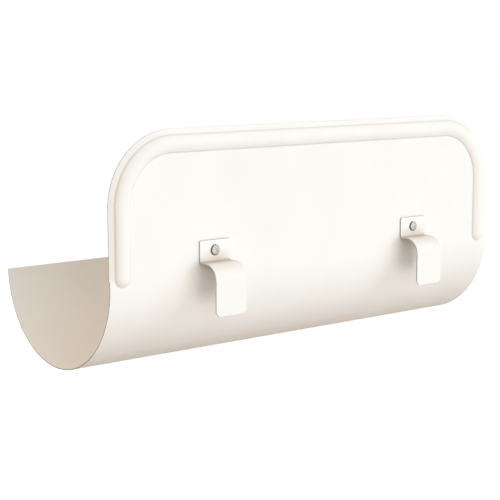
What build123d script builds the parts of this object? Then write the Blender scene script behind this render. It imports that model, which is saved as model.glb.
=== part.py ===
from build123d import *
from math import asin, atan, degrees, sin, sqrt
import os

# Gutter overflow guard: a half-round trough that lies in the gutter, with a tall embossed front panel
# that stops fast roof water from shooting over the gutter, and two clips that hook over its front edge.
# Millimetres. X runs along the gutter, +Y to the house wall, +Z up; the origin is on the trough's axis.

# Trough and panel, folded from one sheet
sheet = 0.6
trough_radius = 62.0
guard_length = 350.0
panel_height = 96.5
panel_foot = 1.5
back_edge_drop = 3.3

# Stiffening bead pressed out of the panel, and the lip that falls back outside it
corner_radius = 48.0
lip_width = 3.2
lip_setback = 1.3
lip_foot = 3.2
lip_run_in = 1.2
bead_width = 12.5
bead_height = 2.5
bead_foot_radius = 0.4
bead_overrun = 1.1

# Hook clips, bent from strip
clip_sheet = 1.0
clip_width = 25.0
clip_spacing = 186.0
clip_top = 23.2
clip_shelf = 8.8
clip_drop = 24.5
clip_reach = 18.0
crease_radius = 0.8
hook_radius = 9.5
clip_end_chamfer = 2.5
clip_corner_radius = 1.0

# Blind rivets
rivet_diameter = 4.0
rivet_clearance = 0.05
rivet_edge_distance = 6.8
rivet_head_diameter = 7.2
rivet_head_height = 1.2
rivet_head_rim = 0.6
rivet_tail_diameter = 6.0
rivet_tail_shoulder = 0.6
rivet_tail_belly = 1.0
rivet_tail_length = 3.0
mandrel_diameter = 2.2
mandrel_recess = 0.4
mandrel_head_diameter = 3.6
mandrel_head_height = 1.4

# Values that follow from them
panel_front = sqrt(trough_radius**2 - panel_foot**2)
panel_face = Plane.XZ.offset(panel_front)
panel_angle = degrees(asin(panel_foot / trough_radius))
back_edge_angle = degrees(asin(back_edge_drop / trough_radius))
bead_half = bead_width / 2
bead_flank = 2 * atan(bead_height / bead_half)
bead_crown_radius = bead_half / sin(bead_flank) - bead_foot_radius
bead_inset = lip_width + bead_half
lip_top = lip_foot + lip_run_in
rivet_height = clip_top - rivet_edge_distance
hole_radius = rivet_diameter / 2 + rivet_clearance
clip_places = {"left_clip": -clip_spacing / 2, "right_clip": clip_spacing / 2}


def rim_line(inset, start):
    """A line up the left side of the panel, across its top and down the right, inset from the edge."""
    side = guard_length / 2 - inset
    top = panel_height - inset
    corners = ((-side, start), (-side, top), (side, top), (side, start))
    return FilletPolyline(*corners, radius=corner_radius - inset)


def across_rim(point, outwards):
    """A plane across the rim: x points out to the panel's edge and y out of the panel's face."""
    return Plane(origin=point, x_dir=(outwards, 0, 0), z_dir=(0, 0, -outwards))


def bead_outline(depth, base):
    """Half of the bead's section, a crown arc and a foot arc, at a depth below the panel's face."""
    turn = degrees(bead_flank)
    crown = CenterArc((0, bead_height - bead_crown_radius), bead_crown_radius - depth, 90, -turn)
    foot = CenterArc((bead_half, bead_foot_radius), bead_foot_radius + depth, -90 - turn, turn)
    Polyline(foot @ 1, (bead_half, base), (0, base), crown @ 0)


def press_bead(depth, base, mode):
    """Carries the bead's section round the panel and closes both lower ends with a half turn."""
    with BuildLine(panel_face) as path:
        rim_line(bead_inset, bead_half - bead_overrun)
    ends = (path.line @ 0, path.line @ 1)
    with BuildSketch(across_rim(ends[0], -1)) as section:
        with BuildLine():
            bead_outline(depth, base)
        make_face()
        mirror(about=Plane.YZ)
    sweep(section.sketch, path=path.line, mode=mode)
    for end in ends:
        with BuildSketch(across_rim(end, 1)) as half:
            with BuildLine():
                bead_outline(depth, base)
            make_face()
        revolve(half.sketch, axis=Axis(end, (0, 1, 0)), revolution_arc=180, mode=mode)


def lip_outline(setback):
    """The lip's section beyond the bead's outer foot, its edge set back from the panel's face."""
    edge = bead_half + lip_width
    Polyline(
        (bead_half, 0), (edge, -setback), (edge, -setback - sheet), (bead_half, -sheet), close=True
    )


# The sheet: a half ring with a short upright, then the panel, the lip and the bead
with BuildPart() as guard_sheet:
    with BuildSketch(Plane.YZ):
        with BuildLine():
            turn = 180 - panel_angle - back_edge_angle
            outside = CenterArc((0, 0), trough_radius, -back_edge_angle, -turn)
            inside = CenterArc((0, 0), trough_radius - sheet, 180 + panel_angle, turn)
            upright = ((-panel_front, lip_foot), (sheet - panel_front, lip_foot))
            Polyline(outside @ 1, *upright, inside @ 0)
            Line(inside @ 1, outside @ 0)
        make_face()
    extrude(amount=guard_length / 2, both=True)

    with BuildSketch(panel_face):
        with BuildLine():
            foot_line = rim_line(lip_width, lip_foot)
            Line(foot_line @ 1, foot_line @ 0)
        make_face()
    extrude(amount=-sheet)

    with BuildLine(panel_face) as lip_path:
        rim_line(bead_inset, lip_top)
    with BuildSketch(across_rim(lip_path.line @ 0, -1)):
        with BuildLine():
            lip_outline(lip_setback)
        make_face()
    sweep()
    for outwards in (-1, 1):
        side = outwards * (guard_length / 2 - bead_inset)
        for height, setback in ((lip_foot, 0), (lip_top, lip_setback)):
            with BuildSketch(across_rim((side, -panel_front, height), outwards)):
                with BuildLine():
                    lip_outline(setback)
                make_face()
        loft(ruled=True)

    press_bead(depth=0, base=-sheet / 2, mode=Mode.ADD)
    press_bead(depth=sheet, base=-2 * sheet, mode=Mode.SUBTRACT)

    with BuildSketch(panel_face):
        with Locations(*[(place, rivet_height) for place in clip_places.values()]):
            Circle(hole_radius)
    extrude(amount=-sheet, mode=Mode.SUBTRACT)

# The clips: a flange on the panel, a shelf over the gutter's bead and a drop in front of it
clips = {}
for name, place in clip_places.items():
    with BuildPart() as clip:
        face = -panel_front
        shelf_under = clip_shelf - clip_sheet
        drop_outer = face - clip_reach
        drop_inner = drop_outer + clip_sheet
        with BuildSketch(Plane.YZ.offset(place)):
            with BuildLine():
                under = FilletPolyline(
                    (face, clip_top), (face, shelf_under),
                    (drop_inner, shelf_under), (drop_inner, -clip_drop),
                    radius=(crease_radius + clip_sheet, hook_radius),
                )
                over = FilletPolyline(
                    (face - clip_sheet, clip_top), (face - clip_sheet, clip_shelf),
                    (drop_outer, clip_shelf), (drop_outer, -clip_drop),
                    radius=(crease_radius, hook_radius + clip_sheet),
                )
                Line(under @ 0, over @ 0)
                Line(under @ 1, over @ 1)
            make_face()
        extrude(amount=clip_width / 2, both=True)
        ends = clip.edges().filter_by(Axis.Y).group_by(Axis.Z)
        fillet(ends[-1], clip_corner_radius)
        chamfer(ends[0], clip_end_chamfer)
        with BuildSketch(panel_face):
            with Locations((place, rivet_height)):
                Circle(hole_radius)
        extrude(amount=clip_sheet, mode=Mode.SUBTRACT)
    clips[name] = clip

# The rivets: a domed head on the clip, a shank through clip and panel, a swollen tail behind the panel
bore_radius = mandrel_diameter / 2
head_under = -clip_sheet
head_crown = head_under - rivet_head_height
tail_end = sheet + rivet_tail_length

with BuildPart() as rivets:
    for place in clip_places.values():
        centre = (place, -panel_front, rivet_height)
        with BuildSketch(Plane(origin=centre, x_dir=(1, 0, 0), z_dir=(0, 0, 1))):
            with BuildLine():
                rim = (rivet_head_diameter / 2, head_under - rivet_head_rim)
                dome = TangentArc((bore_radius, head_crown), rim, tangent=(1, 0))
                shoulder = (rivet_tail_diameter / 2 - rivet_tail_shoulder, sheet)
                Polyline(
                    rim,
                    (rivet_head_diameter / 2, head_under),
                    (rivet_diameter / 2, head_under),
                    (rivet_diameter / 2, sheet),
                    shoulder,
                )
                swell = (rivet_tail_diameter / 2, sheet + rivet_tail_belly)
                tail = ThreePointArc(shoulder, swell, (mandrel_head_diameter / 2, tail_end))
                Polyline(tail @ 1, (bore_radius, tail_end), dome @ 0)
            make_face()
        revolve(axis=Axis(centre, (0, 1, 0)))

# The mandrels: the broken stems left in the rivets, each with the head that swelled the tail
with BuildPart() as rivet_mandrels:
    for place in clip_places.values():
        centre = (place, -panel_front, rivet_height)
        with BuildSketch(Plane(origin=centre, x_dir=(1, 0, 0), z_dir=(0, 0, 1))):
            with BuildLine():
                broken = head_crown + mandrel_recess
                head_edge = (mandrel_head_diameter / 2, tail_end)
                Polyline((0, broken), (bore_radius, broken), (bore_radius, tail_end), head_edge)
                crown = TangentArc((0, tail_end + mandrel_head_height), head_edge, tangent=(1, 0))
                Line(crown @ 0, (0, broken))
            make_face()
        revolve(axis=Axis(centre, (0, 1, 0)))

pieces = {"guard_sheet": guard_sheet, **clips, "rivets": rivets, "rivet_mandrels": rivet_mandrels}
os.makedirs("parts", exist_ok=True)
for name, piece in pieces.items():
    piece.part.label = name
    export_step(piece.part, f"parts/{name}.step")
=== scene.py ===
import bpy
import numpy as np
from mathutils import Matrix, Vector


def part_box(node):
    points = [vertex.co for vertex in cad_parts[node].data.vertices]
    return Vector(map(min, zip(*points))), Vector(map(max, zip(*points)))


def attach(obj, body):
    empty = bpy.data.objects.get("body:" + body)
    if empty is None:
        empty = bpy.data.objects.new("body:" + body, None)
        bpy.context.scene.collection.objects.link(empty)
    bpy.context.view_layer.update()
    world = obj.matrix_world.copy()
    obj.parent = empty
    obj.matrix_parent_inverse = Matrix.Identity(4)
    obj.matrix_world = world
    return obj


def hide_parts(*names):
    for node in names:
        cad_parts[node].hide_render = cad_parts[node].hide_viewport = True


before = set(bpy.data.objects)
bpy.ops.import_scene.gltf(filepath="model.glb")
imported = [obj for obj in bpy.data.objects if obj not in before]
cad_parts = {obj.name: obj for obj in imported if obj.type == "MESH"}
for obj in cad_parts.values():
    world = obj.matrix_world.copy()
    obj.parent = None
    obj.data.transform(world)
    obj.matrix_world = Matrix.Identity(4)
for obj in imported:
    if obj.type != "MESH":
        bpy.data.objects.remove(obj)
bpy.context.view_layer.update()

# The guard sheet: one sheet of pale coated steel, rolled to a half-round trough and carried up to a tall
# panel. A stiffening bead is pressed out along the panel's rim, with painted shade as a dark line in the
# coating along its two feet, and the lip outside it falls back a little. The edges are sheared, so they
# show a line of bare metal.
MM = 0.001
sheet_low, sheet_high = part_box("guard_sheet")
guard_half = (sheet_high.x - sheet_low.x) / 2
trough_radius = -sheet_low.z
panel_top = sheet_high.z
back_edge_turn = np.arccos(sheet_high.y / trough_radius)
panel_foot = 1.5 * MM
panel_front = np.sqrt(trough_radius**2 - panel_foot**2)
sheet_thickness = 0.6 * MM
shear_round = 0.12 * MM
corner_radius = 48.0 * MM
lip_width = 3.2 * MM
lip_setback = 1.3 * MM
lip_foot = 3.2 * MM
lip_run_in = 1.2 * MM
bead_half = 6.25 * MM
bead_overrun = 1.1 * MM
bead_foot_radius = 0.4 * MM
bead_height = -sheet_low.y - panel_front
bead_flank = 2 * np.arctan(bead_height / bead_half)
bead_crown_radius = bead_half / np.sin(bead_flank) - bead_foot_radius
bead_inset = lip_width + bead_half
bead_end = bead_half - bead_overrun
panel_margin = 1.0 * MM
band_width = bead_inset + bead_half + panel_margin
corner_x = guard_half - corner_radius
corner_z = panel_top - corner_radius
rivet_low, rivet_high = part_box("rivets")
rivet_height = (rivet_low.z + rivet_high.z) / 2
rivet_reach = (rivet_high.x - rivet_low.x - (rivet_high.z - rivet_low.z)) / 2
rivet_hole = 2.05 * MM


def spread(start, stop, step):
    """Evenly spaced values from start to stop, no further apart than step."""
    return np.linspace(start, stop, int(np.ceil(abs(stop - start) / step)) + 1)


def bead_rise(distance):
    """Height of the bead at a distance from its middle: a crown arc, then a foot arc that ends flat."""
    crown_edge = bead_crown_radius * np.sin(bead_flank)
    crown = bead_height - bead_crown_radius
    crown = crown + np.sqrt(bead_crown_radius**2 - np.minimum(distance, crown_edge) ** 2)
    into_foot = np.clip(bead_half - distance, 0, bead_half - crown_edge)
    foot = bead_foot_radius - np.sqrt(bead_foot_radius**2 - into_foot**2)
    return np.where(distance < crown_edge, crown, foot)


def grid_quads(rows, columns):
    """Corner numbers of a grid's quads, row by row, as an array of rows, columns and four corners."""
    number = np.arange(rows * columns).reshape(rows, columns)
    return np.stack([number[:-1, :-1], number[:-1, 1:], number[1:, 1:], number[1:, :-1]], axis=-1)


def block_ring(grid, top, bottom, left, right):
    """The points round the outside of a block of a grid's quads, in order, the first one repeated."""
    sides = [
        grid[top, left:right],
        grid[top:bottom, right],
        grid[bottom, right:left:-1],
        grid[bottom:top:-1, left],
        grid[top, left : left + 1],
    ]
    return np.concatenate(sides)


def hole_patch(ring, centre, radius):
    """Surface from a round hole out to a ring of points: a straight line joins each point to the hole's
    edge below it, with the rows closer together towards the hole."""
    towards = ring - centre
    edge = centre + radius * towards / np.linalg.norm(towards, axis=1, keepdims=True)
    share = np.linspace(0, 1, 7)[:, None, None] ** 1.6
    patch = edge + share * (ring - edge)
    return patch.reshape(-1, 3), grid_quads(*patch.shape[:2])[..., ::-1]


def weld(parts):
    """Joins surfaces, each an array of points and one of quads, at the points that they share."""
    points = np.concatenate([p for p, _ in parts])
    starts = np.cumsum([0] + [len(p) for p, _ in parts[:-1]])
    quads = np.concatenate([q.reshape(-1, 4) + s for (_, q), s in zip(parts, starts)])
    cell = np.round(points * 1e7 + 0.123).astype(np.int64)
    _, first, merged = np.unique(cell, axis=0, return_index=True, return_inverse=True)
    return points[first], merged.reshape(-1)[quads]


def sheared_plate(points, quads, thickness, rounding, straight=None):
    """A plate from its outer face: the inner face lies a thickness behind it along the normals, or
    straight back in y at the points marked straight. The edges between the two are flat strips with a
    small quarter round on each side. Returns points, quads, normals and which quads are bare metal."""
    corners = points[quads]
    facing = np.cross(corners[:, 2] - corners[:, 0], corners[:, 3] - corners[:, 1])
    normal = np.zeros_like(points)
    np.add.at(normal, quads, facing[:, None, :])
    normal /= np.linalg.norm(normal, axis=1, keepdims=True)
    through = normal if straight is None else np.where(straight[:, None], (0.0, -1.0, 0.0), normal)
    inner = points - thickness * through

    count = len(points)
    sides = np.stack([quads, np.roll(quads, -1, axis=1)], axis=-1).reshape(-1, 2)
    free = ~np.isin(sides[:, 0] * count + sides[:, 1], sides[:, 1] * count + sides[:, 0])
    sides = sides[free]
    along = points[sides[:, 1]] - points[sides[:, 0]]
    along /= np.linalg.norm(along, axis=1, keepdims=True)
    outward = np.zeros_like(points)
    np.add.at(outward, sides, np.cross(along, through[sides[:, 0]])[:, None, :])
    edge = np.unique(sides)
    out = outward[edge] / np.linalg.norm(outward[edge], axis=1, keepdims=True)

    turn = np.linspace(0, np.pi / 2, 4)[1:, None, None]
    bulge = rounding * np.sin(turn) * out
    fall = rounding * (1 - np.cos(turn)) * through[edge]
    outer_round = points[edge] + bulge - fall
    inner_round = (inner[edge] + bulge + fall)[::-1]
    strip = np.concatenate([outer_round, inner_round]).transpose(1, 0, 2)
    outer_turn = np.cos(turn) * through[edge] + np.sin(turn) * out
    inner_turn = (np.sin(turn) * out - np.cos(turn) * through[edge])[::-1]
    strip_normal = np.concatenate([outer_turn, inner_turn]).transpose(1, 0, 2)

    strip_number = 2 * count + np.arange(strip.shape[0] * strip.shape[1]).reshape(strip.shape[:2])
    ladder = np.column_stack([edge, strip_number, edge + count])
    place = np.searchsorted(edge, sides)
    near, far = ladder[place[:, 0]], ladder[place[:, 1]]
    wall = np.stack([far[:, :-1], near[:, :-1], near[:, 1:], far[:, 1:]], axis=-1)
    bare = np.zeros(wall.shape[:2], bool)
    bare[:, 2:5] = True

    all_points = np.concatenate([points, inner, strip.reshape(-1, 3)])
    all_quads = np.concatenate([quads, quads[:, ::-1] + count, wall.reshape(-1, 4)])
    all_normals = np.concatenate([normal, -normal, strip_normal.reshape(-1, 3)])
    all_bare = np.concatenate([np.zeros(2 * len(quads), bool), bare.reshape(-1)])
    return all_points, all_quads, all_normals, all_bare


def add_piece(name, points, faces, materials, normals=None, second=None):
    """Puts arrays into a smooth mesh object at the origin, with given normals and a second material."""
    mesh = bpy.data.meshes.new(name)
    mesh.from_pydata(points, [], faces)
    for material in materials:
        mesh.materials.append(material)
    mesh.polygons.foreach_set("use_smooth", np.ones(len(mesh.polygons), bool))
    if second is not None:
        mesh.polygons.foreach_set("material_index", second.astype(np.int32))
    if normals is not None:
        mesh.normals_split_custom_set_from_vertices(normals)
    piece = bpy.data.objects.new(name, mesh)
    bpy.context.scene.collection.objects.link(piece)
    return piece


class Shade:
    """A socket in a material: arithmetic on it adds Math nodes, and node() adds a node of any type."""

    def __init__(self, tree, socket=None):
        self.tree = tree
        self.socket = socket

    def node(self, kind, settings=None, sockets=None, output=0):
        """Adds a node, makes its settings, sets or links its sockets and returns one of its outputs."""
        made = self.tree.nodes.new(kind)
        for name, value in (settings or {}).items():
            setattr(made, name, value)
        for name, value in (sockets or {}).items():
            if isinstance(value, Shade):
                self.tree.links.new(value.socket, made.inputs[name])
            else:
                made.inputs[name].default_value = value
        return Shade(self.tree, made.outputs[output]) if made.outputs else None

    def math(self, operation, *others):
        return self.node("ShaderNodeMath", {"operation": operation}, dict(enumerate((self, *others))))

    def __add__(self, other):
        return self.math("ADD", other)

    def __sub__(self, other):
        return self.math("SUBTRACT", other)

    def __rsub__(self, other):
        return self * -1.0 + other

    def __mul__(self, other):
        return self.math("MULTIPLY", other)

    __radd__ = __add__
    __rmul__ = __mul__

    def along(self, axis):
        """One coordinate of this position."""
        return self.node("ShaderNodeSeparateXYZ", None, {0: self}, axis)

    def hypot(self, other):
        """Distance from a line, by this value and another one at right angles to it."""
        square = self * self + other * other
        return square.math("SQRT")

    def ramp(self, start, stop):
        """0 up to start, 1 from stop, and a smooth step between them."""
        limits = {"Value": self, "From Min": start, "From Max": stop}
        return self.node("ShaderNodeMapRange", {"interpolation_type": "SMOOTHSTEP"}, limits)

    def mix(self, first, second):
        """A colour between two colours, by this value."""
        return self.node("ShaderNodeMix", {"data_type": "RGBA"}, {0: self, 6: first, 7: second}, 2)

    def noise(self, scale, detail=2.0, stretch=(1.0, 1.0, 1.0)):
        """Noise on this position, with so many grains to the metre, after a stretch of the axes."""
        placed = self.node("ShaderNodeMapping", None, {"Vector": self, "Scale": stretch})
        grains = {"Vector": placed, "Scale": scale, "Detail": detail}
        return self.node("ShaderNodeTexNoise", None, grains)


def new_material(name):
    """An empty material and the position on the piece that its nodes start from."""
    material = bpy.data.materials.new(name)
    material.use_nodes = True
    material.node_tree.nodes.clear()
    place = Shade(material.node_tree).node("ShaderNodeTexCoord", output="Object")
    return material, place


def finish_material(place, sockets):
    """Closes a material with one Principled shader that has these socket values and links."""
    shader = place.node("ShaderNodeBsdfPrincipled", None, sockets)
    place.node("ShaderNodeOutputMaterial", None, {"Surface": shader})


def coating(place, shade_share, shade_tone):
    """Satin coil coating: two close tones in soft clouds, rubbed patches that shine a little more, fine
    orange peel and a very shallow long wave of the sheet itself. Painted shade darkens it towards a
    shade tone by a share from 0 to 1."""
    clouds = place.noise(26.0, 3.0).ramp(0.3, 0.7)
    rubbed = place.noise(55.0, 4.0, (0.35, 1.0, 1.0)).ramp(0.5, 0.75)
    peel = place.noise(750.0, 1.5)
    grain = place.noise(4200.0, 1.0)
    wave = place.noise(14.0, 0.0)
    height = peel * 0.010 + grain * 0.0016 + wave * 0.10
    relief = place.node("ShaderNodeBump", None, {"Height": height, "Distance": MM, "Strength": 1.0})
    finish_material(
        place,
        {
            "Base Color": shade_share.mix(clouds.mix(cream, cream_deeper), shade_tone),
            "Roughness": 0.54 + 0.05 * clouds - 0.07 * rubbed + 0.04 * grain,
            "Specular IOR Level": 0.28,
            "Normal": relief,
        },
    )


def from_bead_middle(place):
    """Distance from the bead's middle line, also round its ends: how far a place is in from the panel's
    round-cornered edge, less the bead's inset, and how far below the end's middle it is."""
    sideways = place.along("X").math("ABSOLUTE") - corner_x
    upwards = place.along("Z") - corner_z
    out = sideways.math("MAXIMUM", 0.0).hypot(upwards.math("MAXIMUM", 0.0))
    inward = sideways.math("MAXIMUM", upwards).math("MINIMUM", 0.0)
    across = corner_radius - bead_inset - out - inward
    below = bead_end - place.along("Z")
    return across.hypot(below.math("MAXIMUM", 0.0))


def sheared_metal(place, dark, light):
    """Bare sheared edge of zinc-coated steel: dull grey with fine streaks across the cut."""
    streaks = place.noise(2600.0, 2.0, (1.0, 0.25, 1.0))
    patches = place.noise(240.0, 3.0).ramp(0.35, 0.7)
    relief = place.node("ShaderNodeBump", None, {"Height": streaks * 0.03, "Distance": MM})
    finish_material(
        place,
        {
            "Base Color": (0.6 * patches + 0.4 * streaks).mix(dark, light),
            "Metallic": 0.55,
            "Roughness": 0.42 + 0.2 * streaks,
            "Normal": relief,
        },
    )


cream = (0.912, 0.893, 0.852, 1)
cream_deeper = (0.902, 0.880, 0.835, 1)
# Painted shade: a dark line in the coating along the bead's two feet, a little in on the flanks, stands in
# for the shade in those creases.
crease_shade_tone = (0.66, 0.605, 0.53, 1)
crease_shade_strength = 0.45
crease_shade_width = 0.85 * MM
sheet_coating, place = new_material("sheet_coating")
from_crease_shade = from_bead_middle(place) - (bead_half - 0.8 * crease_shade_width)
crease_shade = 1.0 - from_crease_shade.math("ABSOLUTE").ramp(0.1 * crease_shade_width, crease_shade_width)
coating(place, crease_shade_strength * crease_shade, crease_shade_tone)
cut_edge, place = new_material("cut_edge")
sheared_metal(place, (0.17, 0.16, 0.148, 1), (0.29, 0.275, 0.255, 1))

foot_steps = bead_half - bead_foot_radius * np.sin(np.linspace(0, bead_flank, 7))
crown_steps = bead_crown_radius * np.sin(np.linspace(-bead_flank, bead_flank, 23))
inset = np.concatenate(
    [
        spread(shear_round, lip_width, 0.55 * MM)[:-1],
        bead_inset - foot_steps,
        bead_inset + crown_steps[1:-1],
        bead_inset + foot_steps[::-1],
        spread(bead_inset + bead_half, band_width, 0.5 * MM)[1:],
    ]
)
end_rows = spread(-panel_foot, bead_end, 0.25 * MM)
side_rows = np.concatenate([end_rows, spread(bead_end, corner_z, 2.0 * MM)[1:]])
corner_turn = np.linspace(np.pi, np.pi / 2, 37)[1:]
top_run = spread(-corner_x, corner_x, 3.0 * MM)

left_x = np.full(len(side_rows) + len(corner_turn), -corner_x)
left_z = np.concatenate([side_rows, np.full(len(corner_turn), corner_z)])
left_out_x = np.concatenate([np.full(len(side_rows), -1.0), np.cos(corner_turn)])
left_out_z = np.concatenate([np.zeros(len(side_rows)), np.sin(corner_turn)])
path_x = np.concatenate([left_x, top_run[1:-1], -left_x[::-1]])
path_z = np.concatenate([left_z, np.full(len(top_run) - 2, corner_z), left_z[::-1]])
path_out_x = np.concatenate([left_out_x, np.zeros(len(top_run) - 2), -left_out_x[::-1]])
path_out_z = np.concatenate([left_out_z, np.ones(len(top_run) - 2), left_out_z[::-1]])


def rim_band():
    """The rim: the section over lip and bead carried up the left side, across the top and down the right.
    Below its ends the bead's section turns about the end's middle, and the lip comes flush."""
    past_end = np.maximum(bead_end - path_z, 0)[:, None]
    lip_share = np.clip((path_z - lip_foot) / lip_run_in, 0, 1)[:, None]
    forward = bead_rise(np.hypot(inset - bead_inset, past_end))
    forward = forward - lip_setback * lip_share * np.maximum(1 - inset / lip_width, 0)
    x = path_x[:, None] + path_out_x[:, None] * (corner_radius - inset)
    z = path_z[:, None] + path_out_z[:, None] * (corner_radius - inset)
    band = np.stack([x, -panel_front - forward, z], axis=-1)
    return band.reshape(-1, 3), grid_quads(*band.shape[:2])


def panel_field():
    """The flat inside the bead: rows that run from the rim's left to its right, closing in with the round
    corners. A block of quads round each rivet gives way to a patch with the rivet's hole."""
    reach = -(left_x + left_out_x * (corner_radius - band_width))
    z = left_z + left_out_z * (corner_radius - band_width)
    x = reach[:, None] * np.linspace(-1, 1, len(top_run))
    field = np.stack([x, np.full_like(x, -panel_front), np.broadcast_to(z[:, None], x.shape)], axis=-1)
    keep = np.ones((len(z) - 1, len(top_run) - 1), bool)
    patches = []
    for place in (-rivet_reach, rivet_reach):
        row, column = np.searchsorted(z, rivet_height), np.searchsorted(x[0], place)
        block = (row - 3, row + 2, column - 3, column + 2)
        keep[block[0] : block[1], block[2] : block[3]] = False
        centre = np.array([place, -panel_front, rivet_height])
        patches.append(hole_patch(block_ring(field, *block), centre, rivet_hole + shear_round))
    return [(field.reshape(-1, 3), grid_quads(*x.shape)[keep]), *patches]


def trough_round():
    """The half round below the panel: the sheet's width carried about the axis to the back edge."""
    middle = np.linspace(-1, 1, len(top_run)) * (guard_half - band_width)
    x = np.concatenate([inset - guard_half, middle[1:-1], (guard_half - inset)[::-1]])
    front_turn = np.pi + np.arcsin(panel_foot / trough_radius)
    back_turn = 2 * np.pi - back_edge_turn - shear_round / trough_radius
    turn = np.linspace(front_turn, back_turn, 76)[::-1, None]
    y = np.broadcast_to(trough_radius * np.cos(turn), (len(turn), len(x)))
    z = np.broadcast_to(trough_radius * np.sin(turn), y.shape)
    half_round = np.stack([np.broadcast_to(x, y.shape), y, z], axis=-1)
    return half_round.reshape(-1, 3), grid_quads(*y.shape)


def on_lip(points):
    """Which points lie on the lip: above its foot, and no further in from the edge than its width."""
    sideways = np.abs(points[:, 0]) - corner_x
    upwards = points[:, 2] - corner_z
    out = np.hypot(np.maximum(sideways, 0), np.maximum(upwards, 0))
    inward = np.minimum(np.maximum(sideways, upwards), 0)
    return (corner_radius - out - inward < lip_width + shear_round) & (points[:, 2] > lip_foot)


face_points, face_quads = weld([rim_band(), *panel_field(), trough_round()])
plate = sheared_plate(face_points, face_quads, sheet_thickness, shear_round, on_lip(face_points))
folded_sheet = add_piece("folded_sheet", *plate[:2], [sheet_coating, cut_edge], *plate[2:])
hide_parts("guard_sheet")
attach(folded_sheet, "root")

# The hook clips: strips of the same coated steel, a little thicker, bent twice, with slanted lower corners.
# The flange lies on the panel, the shelf reaches over the gutter's bead and the drop hangs in front of it.
# Painted shade darkens the coating in the inner bend and up the flange, most of all at the bend's two ends,
# and the top cut edge is painted near black as shade.
strip_low, strip_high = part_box("left_clip")
strip_half = (strip_high.x - strip_low.x) / 2
clip_thickness = 1.0 * MM
clip_shelf = 8.8 * MM
crease_radius = 0.8 * MM
hook_radius = 10.5 * MM
clip_corner = 1.0 * MM
clip_slant = 2.5 * MM
# Painted shade: the next tone and the shelf and flange shares below darken the coating round the inner
# bend, most at its two ends, standing in for the shade of the hook there.
bend_shade_tone = (0.65, 0.54, 0.40, 1)
bend_shade_reach = 6.0 * MM
flange_reach = 11.0 * MM
strip_coating, place = new_material("strip_coating")
before_crease = place.along("Y") * -1.0 - (panel_front + clip_thickness + crease_radius)
above_crease = place.along("Z") - (clip_shelf + crease_radius)
from_clip_middle = (place.along("X").math("ABSOLUTE") - rivet_reach).math("ABSOLUTE")
at_ends = from_clip_middle.ramp(0.48 * strip_half, strip_half)
on_shelf = 1.0 - above_crease.ramp(-0.5 * crease_radius, 0.75 * crease_radius)
near_crease = 1.0 - before_crease.ramp(0.0, bend_shade_reach + bend_shade_reach * at_ends)
shelf_shade = (0.62 + 0.3 * at_ends) * on_shelf * near_crease
up_flange = 1.0 - before_crease.hypot(above_crease).ramp(crease_radius, flange_reach)
flange_shade = 0.36 * up_flange * (1.0 - 0.8 * from_clip_middle.ramp(0.32 * strip_half, strip_half))
coating(place, shelf_shade + flange_shade, bend_shade_tone)
strip_edge, place = new_material("strip_edge")
# Painted shade: the top of the cut edge is painted near black for the shade line along the clip's top.
top_edge_shade = place.along("Z").ramp(strip_high.z - 0.3 * MM, strip_high.z - 0.05 * MM)
edge_dark_and_top_shade = top_edge_shade.mix((0.34, 0.328, 0.31, 1), (0.05, 0.048, 0.045, 1))
edge_light_and_top_shade = top_edge_shade.mix((0.50, 0.482, 0.455, 1), (0.09, 0.086, 0.08, 1))
sheared_metal(place, edge_dark_and_top_shade, edge_light_and_top_shade)


def arc(centre, radius, start, stop, count):
    """Points on a circle in a plane, from one angle in degrees to another."""
    turn = np.radians(np.linspace(start, stop, count))
    return np.column_stack([centre[0] + radius * np.cos(turn), centre[1] + radius * np.sin(turn)])


def run(start, stop, step):
    """Points on a straight line in a plane, without its ends."""
    count = int(np.ceil(np.hypot(stop[0] - start[0], stop[1] - start[1]) / step)) + 1
    return np.linspace(start, stop, count)[1:-1]


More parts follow.
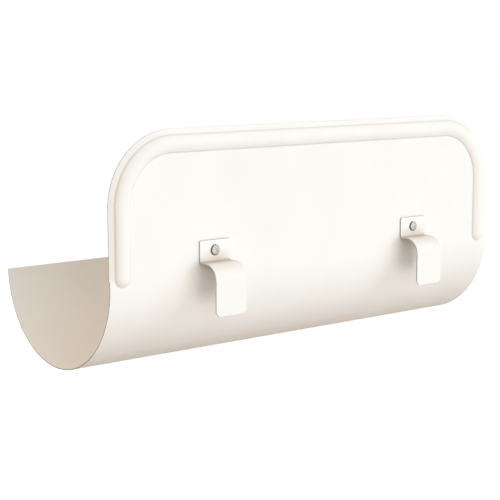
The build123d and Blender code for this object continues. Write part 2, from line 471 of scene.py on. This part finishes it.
def bent_strip(node):
    """The outer face of a clip: a line down the flange, round the crease, along the shelf, round the hook
    and down the drop, carried across a width that narrows at the rounded and the slanted corners."""
    low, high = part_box(node)
    half = (high.x - low.x) / 2
    reach = high.y - low.y
    front = clip_thickness
    crease = (front + crease_radius, clip_shelf + crease_radius)
    hook = (reach - hook_radius, clip_shelf - hook_radius)
    top, bottom = high.z - shear_round, low.z + shear_round
    corner_rows = clip_corner - (clip_corner - shear_round) * np.cos(np.linspace(0, np.pi / 2, 7))
    slant_rows = np.linspace(clip_slant + 0.414 * shear_round, shear_round, 9)
    line = np.concatenate(
        [
            np.column_stack([np.full(7, front), high.z - corner_rows]),
            run((front, high.z - clip_corner), (front, crease[1]), 1.0 * MM),
            arc(crease, crease_radius, 180, 270, 9),
            run((crease[0], clip_shelf), (hook[0], clip_shelf), 1.0 * MM),
            arc(hook, hook_radius, 90, 0, 31),
            run((reach, hook[1]), (reach, low.z + slant_rows[0]), 1.5 * MM),
            np.column_stack([np.full(9, reach), low.z + slant_rows]),
        ]
    )
    from_top = np.where(line[:, 0] <= front, high.z - line[:, 1], clip_corner)
    from_bottom = np.where(line[:, 0] >= reach, line[:, 1] - low.z, clip_slant * 2)
    inner_corner = clip_corner - shear_round
    short_of = np.clip(clip_corner - from_top, 0, inner_corner)
    narrowed = shear_round + inner_corner - np.sqrt(inner_corner**2 - short_of**2)
    slanted = clip_slant - from_bottom + np.sqrt(2) * shear_round
    width = half - np.maximum(np.maximum(narrowed, slanted), shear_round)
    across = np.linspace(-1, 1, 19)
    x = (low.x + high.x) / 2 + width[:, None] * across
    y = np.broadcast_to(high.y - line[:, :1], x.shape)
    z = np.broadcast_to(line[:, 1:], x.shape)
    strip = np.stack([x, y, z], axis=-1)

    keep = np.ones((x.shape[0] - 1, x.shape[1] - 1), bool)
    row = np.argmax(line[:, 1] < rivet_height)
    block = (row - 4, row + 4, 6, 12)
    keep[block[0] : block[1], block[2] : block[3]] = False
    centre = np.array([(low.x + high.x) / 2, high.y - front, rivet_height])
    patch = hole_patch(block_ring(strip, *block), centre, rivet_hole + shear_round)
    quads = grid_quads(*x.shape)[keep]
    return weld([(strip.reshape(-1, 3), quads[:, ::-1]), (patch[0], patch[1][..., ::-1])])


for node, name in (("left_clip", "left_hook"), ("right_clip", "right_hook")):
    plate = sheared_plate(*bent_strip(node), clip_thickness, shear_round)
    hook_clip = add_piece(name, *plate[:2], [strip_coating, strip_edge], *plate[2:])
    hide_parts(node)
    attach(hook_clip, "root")

# The blind rivets: plain aluminium, one through each flange and the panel behind it.
# The setting tool leaves a faint ring on the domed head, painted shade darkens its rim, more on the
# lower left, and the tail swells behind the panel.
panel_y = -panel_front
head_crown = panel_y - rivet_low.y
tail_end = rivet_high.y - panel_y
head_radius = (rivet_high.z - rivet_low.z) / 2
bore_radius = 1.1 * MM
bore_edge = 0.12 * MM
shank_radius = 2.0 * MM
head_rim = 0.6 * MM
rim_round = 0.2 * MM
tool_ring = 2.3 * MM
tool_ring_width = 0.16 * MM
tool_ring_depth = 0.05 * MM
tail_shoulder = 2.4 * MM
tail_belly = 3.0 * MM
tail_belly_at = 1.0 * MM
stem_head_radius = 1.8 * MM
rim_shade_aside = 0.25 * MM
rim_shade_upwards = 0.1 * MM
rim_shade_tone = (0.05, 0.044, 0.039, 1)


def turned(profile, sweep_count, closed, ripple=0.0):
    """A turned shape at each rivet: a profile of radius and depth carried round the rivet's axis, with a
    ripple in depth. A closed profile makes a ring, and an open one is closed by a point at each end."""
    turn = np.linspace(0, 2 * np.pi, sweep_count, endpoint=False)
    radius, depth = profile[:, :1], profile[:, 1:] + ripple
    rows = len(profile)
    number = np.arange(rows * sweep_count).reshape(rows, sweep_count)
    number = np.concatenate([number, number[:1]]) if closed else number
    beside = np.roll(number, -1, axis=1)
    quads = np.stack([number[:-1], number[1:], beside[1:], beside[:-1]], axis=-1).reshape(-1, 4)
    ring = [radius * np.cos(turn), np.broadcast_to(depth, (rows, sweep_count)), radius * np.sin(turn)]
    points = np.stack(ring, axis=-1).reshape(-1, 3)
    faces = [quads]
    if not closed:
        poles = points.reshape(rows, sweep_count, 3)[[0, -1]].mean(axis=1)
        front = np.stack([np.full(sweep_count, len(points)), number[0], beside[0]], axis=-1)
        back = np.stack([np.full(sweep_count, len(points) + 1), beside[-1], number[-1]], axis=-1)
        faces = [quads, front, back]
        points = np.concatenate([points, poles])
    places = np.array([[-rivet_reach, panel_y, rivet_height], [rivet_reach, panel_y, rivet_height]])
    pair = (places[:, None, :] + points).reshape(-1, 3)
    both = [(f + k * len(points)).tolist() for k in range(len(places)) for f in faces]
    return pair, sum(both, [])


rivet_metal, place = new_material("rivet_aluminium")
right_side = place.along("X").math("GREATER_THAN", 0.0)
sideways = place.along("X") - rivet_reach * (2.0 * right_side - 1.0)
upwards = place.along("Z") - rivet_height
off_axis = sideways.hypot(upwards)
turning = (off_axis * 52000.0).math("SINE")
scuffs = place.noise(1500.0, 3.0).ramp(0.4, 0.75)
dull = place.noise(420.0, 2.0)
pressed = 1.0 - (off_axis - tool_ring).math("ABSOLUTE").ramp(0.15 * MM, 0.5 * MM)
worn = 0.35 * dull + 0.2 * scuffs + 0.45 * pressed
bare = worn.mix((0.52, 0.48, 0.455, 1), (0.25, 0.228, 0.213, 1))
# Painted shade: the head's rim is painted dark, wider on its lower left side, and less metallic and rougher
# there, for the shade round it.
off_middle = (sideways - rim_shade_aside).hypot(upwards - rim_shade_upwards)
rim_shade = off_middle.ramp(head_radius - 0.5 * MM, head_radius - 0.1 * MM)
height = 0.004 * turning + 0.02 * scuffs
relief = place.node("ShaderNodeBump", None, {"Height": height, "Distance": MM})
finish_material(
    place,
    {
        "Base Color": rim_shade.mix(bare, rim_shade_tone),
        "Metallic": 1.0 - 0.6 * rim_shade,
        "Roughness": 0.40 + 0.16 * dull + 0.1 * scuffs + 0.2 * rim_shade,
        "Normal": relief,
    },
)

dome_run = head_radius - bore_radius
dome_fall = head_crown - clip_thickness - head_rim
dome_radius = (dome_run**2 + dome_fall**2) / (2 * dome_fall)
dome_r = np.linspace(bore_radius + bore_edge, head_radius - rim_round, 30)
dome_y = dome_radius - head_crown - np.sqrt(dome_radius**2 - (dome_r - bore_radius) ** 2)
dome_y = dome_y + tool_ring_depth * np.exp(-(((dome_r - tool_ring) / tool_ring_width) ** 2))
tail_y = np.linspace(sheet_thickness, tail_end, 16)
belly_at = sheet_thickness + tail_belly_at
tail_curve = np.polyfit(
    [sheet_thickness, belly_at, tail_end], [tail_shoulder, tail_belly, stem_head_radius], 2
)
rim_middle = (head_radius - rim_round, rim_round - clip_thickness - head_rim)
rivet_profile = np.concatenate(
    [
        arc((bore_radius + bore_edge, bore_edge - head_crown), bore_edge, 180, 265, 5),
        np.column_stack([dome_r, dome_y]),
        arc(rim_middle, rim_round, -60, 0, 6),
        [(head_radius, -clip_thickness), (shank_radius, -clip_thickness), (shank_radius, sheet_thickness)],
        np.column_stack([np.polyval(tail_curve, tail_y), tail_y]),
        [(bore_radius, tail_end)],
    ]
)
rivet_bodies = add_piece("rivet_bodies", *turned(rivet_profile, 64, True), [rivet_metal])
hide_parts("rivets")
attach(rivet_bodies, "root")

# The rivet stems: zinc-plated steel pins that pull the tails up and then break off inside the heads.
# The broken end is torn and a little cupped, and the round head stays in the swollen tail.
stem_low, stem_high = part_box("rivet_mandrels")
break_at = stem_low.y - panel_y
crown_at = stem_high.y - panel_y
stem_radius = 1.07 * MM
cup_depth = 0.12 * MM
tear_depth = 0.05 * MM

stem_metal, place = new_material("stem_steel")
torn = place.noise(5200.0, 4.0)
stains = place.noise(900.0, 2.0).ramp(0.4, 0.7)
relief = place.node("ShaderNodeBump", None, {"Height": torn * 0.08, "Distance": MM})
finish_material(
    place,
    {
        "Base Color": (0.6 * stains + 0.4 * torn).mix((0.46, 0.45, 0.44, 1), (0.24, 0.23, 0.22, 1)),
        "Metallic": 1.0,
        "Roughness": 0.38 + 0.25 * torn,
        "Normal": relief,
    },
)

break_r = np.linspace(0.08, 1.0, 12) * stem_radius
cupped = break_at + cup_depth * (1 - (break_r / stem_radius) ** 2)
stem_head_fall = crown_at - tail_end
stem_head_round = (stem_head_radius**2 + stem_head_fall**2) / (2 * stem_head_fall)
head_r = np.linspace(stem_head_radius, 0.06 * stem_head_radius, 18)
head_y = crown_at - stem_head_round + np.sqrt(stem_head_round**2 - head_r**2)
stem_profile = np.concatenate(
    [
        np.column_stack([break_r, cupped]),
        [(stem_radius, tail_end)],
        np.column_stack([head_r, head_y]),
    ]
)
stem_turn = np.linspace(0, 2 * np.pi, 48, endpoint=False)
tear = np.sin(3 * stem_turn + 0.7) + 0.7 * np.sin(7 * stem_turn + 2.1)
tear = tear + 0.5 * np.sin(13 * stem_turn)
tear_share = np.zeros((len(stem_profile), 1))
tear_share[: len(break_r), 0] = np.sin(np.linspace(0.2, 0.85, len(break_r)) * np.pi)
ripple = tear_depth * tear_share * tear / 2
rivet_stems = add_piece("rivet_stems", *turned(stem_profile, 48, False, ripple), [stem_metal])
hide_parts("rivet_mandrels")
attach(rivet_stems, "root")

# The floor: plain pale paper well below the guard, which is held by the gutter that it lies in.
# It looks white to the camera and in reflections, keeps the guard's shadow and throws back little light.
floor_drop = 4.0
floor_half = 30.0
floor_seen = (0.30, 0.30, 0.30, 1)
floor_bounce = (0.20, 0.10, 0.04, 1)
floor_glow = 0.88


def seen_directly(start):
    """1 for what the camera sees straight or in a reflection or through glass, 0 for scattered light."""
    rays = ("Is Camera Ray", "Is Glossy Ray", "Is Transmission Ray")
    straight, mirrored, through = (start.node("ShaderNodeLightPath", output=ray) for ray in rays)
    return straight.math("MAXIMUM", mirrored).math("MAXIMUM", through)


floor_paper, place = new_material("floor_paper")
seen = seen_directly(place)
finish_material(
    place,
    {
        "Base Color": seen.mix(floor_bounce, floor_seen),
        "Roughness": 0.9,
        "Specular IOR Level": 0.0,
        "Emission Color": seen.mix((0, 0, 0, 1), (floor_glow, floor_glow, floor_glow, 1)),
        "Emission Strength": 1.0,
    },
)
floor_corners = [(-floor_half, -floor_half), (floor_half, -floor_half), (floor_half, floor_half)]
floor_corners = np.array([*floor_corners, (-floor_half, floor_half)])
floor_points = np.column_stack([floor_corners, np.full(4, -floor_drop)])
floor = add_piece("floor", floor_points, [(0, 1, 2, 3)], [floor_paper])

# The light: a room that is warm, more so overhead and on the left, and white where the camera sees it.
# In it stand five large soft boxes: two low and warm ones for the trough's underside, two cooler ones in
# front of the panel and a cool one behind it.
room_left = (0.64, 0.565, 0.46, 1)
room_right = (0.60, 0.635, 0.64, 1)
room_high = (0.80, 0.665, 0.56, 1)
room = bpy.data.worlds.new("room")
bpy.context.scene.world = room
room.use_nodes = True
room.node_tree.nodes.clear()
start = Shade(room.node_tree)
towards = start.node("ShaderNodeTexCoord", output="Generated")
room_low = towards.along("X").ramp(-1.0, 1.0).mix(room_left, room_right)
room_tone = towards.along("Z").ramp(0.25, 0.95).mix(room_low, room_high)
room_colour = seen_directly(start).mix(room_tone, (1, 1, 1, 1))
room_shine = start.node("ShaderNodeBackground", None, {"Color": room_colour})
start.node("ShaderNodeOutputWorld", None, {"Surface": room_shine})


def direction(azimuth, elevation):
    """Unit vector from the guard to a place round it: azimuth 0 is straight in front of the panel."""
    a, e = np.radians(azimuth), np.radians(elevation)
    return Vector((np.sin(a) * np.cos(e), -np.cos(a) * np.cos(e), np.sin(e)))


def soft_box(name, azimuth, elevation, watts, colour):
    """A square area lamp that faces the guard from a direction."""
    lamp = bpy.data.lights.new(name, "AREA")
    lamp.energy = watts
    lamp.size = box_size
    lamp.color = colour
    holder = bpy.data.objects.new(name, lamp)
    holder.location = direction(azimuth, elevation) * box_distance
    holder.rotation_mode = "QUATERNION"
    holder.rotation_quaternion = direction(azimuth, elevation).to_track_quat("Z", "Y")
    bpy.context.scene.collection.objects.link(holder)


box_size = 3.0
box_distance = 5.0
warm_light = (1.0, 0.985, 0.925)
cool_light = (0.63, 0.81, 1.0)
soft_boxes = {
    "low_right_box": (15, -25, 90.0, warm_light),
    "low_left_box": (-15, -25, 23.0, warm_light),
    "left_box": (-15, 12, 54.0, cool_light),
    "right_box": (45, 12, 81.0, cool_light),
    "back_box": (165, -8, 68.0, cool_light),
}
for name, (azimuth, elevation, watts, colour) in soft_boxes.items():
    soft_box(name, azimuth, elevation, watts, colour)

# The camera: a long lens to the left of the panel's front and a little above it, as in the photograph.
# It looks down a little and has no shift, so that other views keep its framing.
view_azimuth = -39.90
view_elevation = 8.473
view_distance = 1.0172
view_sideways = -8.22 * MM
view_upwards = 0.15 * MM
view_lens = 100.24

back = direction(view_azimuth, view_elevation)
right = Vector((np.cos(np.radians(view_azimuth)), np.sin(np.radians(view_azimuth)), 0))
up = back.cross(right)
lens = bpy.data.cameras.new("camera")
lens.sensor_width = 36.0
lens.lens = view_lens
camera = bpy.data.objects.new("camera", lens)
eye = back * view_distance + right * view_sideways + up * view_upwards
camera.matrix_world = Matrix.Translation(eye) @ Matrix((right, up, back)).transposed().to_4x4()
bpy.context.scene.collection.objects.link(camera)
bpy.context.scene.camera = camera
bpy.context.scene.view_settings.view_transform = "Standard"
